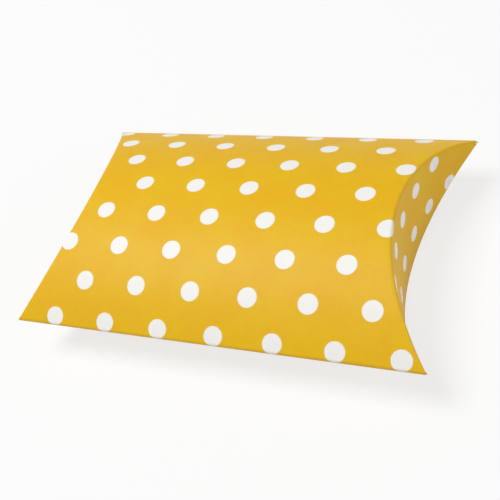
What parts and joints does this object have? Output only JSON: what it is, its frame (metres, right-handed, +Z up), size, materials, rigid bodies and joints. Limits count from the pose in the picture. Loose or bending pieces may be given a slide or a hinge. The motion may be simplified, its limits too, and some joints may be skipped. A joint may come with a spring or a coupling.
{
  "type": "pillow box",
  "caption": "Folding card gift box with two crowned panels, a glued side seam and curved end flaps that swing open; the outside is printed with plain polka dots.",
  "frame": {"origin": "on the surface that the box lies on, under the middle of the back panel's belly", "axes": "+X along the side folds, +Y from the plain fold to the glued fold, +Z up through the front panel's crown"},
  "size_m": [0.102, 0.0666, 0.024],
  "materials": {
    "printed_card": "satin",
    "glue": "matte"
  },
  "bodies": {
    "sleeve": {"front_panel": "printed_card", "back_panel": "printed_card", "spine_fold": "printed_card", "seam_fold": "printed_card", "glue_flap": "printed_card", "glue_line": "glue"},
    "right_outer": {"right_outer_flap": "printed_card"},
    "right_inner": {"right_inner_flap": "printed_card"},
    "left_outer": {"left_outer_flap": "printed_card"},
    "left_inner": {"left_inner_flap": "printed_card"}
  },
  "joints": [
    {"name": "right_outer_hinge", "type": "hinge", "parent": "sleeve", "child": "right_outer", "pos_m": [0.03939, 0, 0.024], "axis": [0, -1, 0], "range_deg": [0, 90]},
    {"name": "right_inner_hinge", "type": "hinge", "parent": "sleeve", "child": "right_inner", "pos_m": [0.03879, 0, 0], "axis": [0, 1, 0], "range_deg": [0, 45]},
    {"name": "left_outer_hinge", "type": "hinge", "parent": "sleeve", "child": "left_outer", "pos_m": [-0.03939, 0, 0.024], "axis": [0, 1, 0], "range_deg": [0, 90]},
    {"name": "left_inner_hinge", "type": "hinge", "parent": "sleeve", "child": "left_inner", "pos_m": [-0.03879, 0, 0], "axis": [0, -1, 0], "range_deg": [0, 45]}
  ],
  "couplings": [
    {"joint": "right_inner_hinge", "follows": "right_outer_hinge", "ratio": 0.5},
    {"joint": "left_inner_hinge", "follows": "left_outer_hinge", "ratio": 0.5}
  ]
}
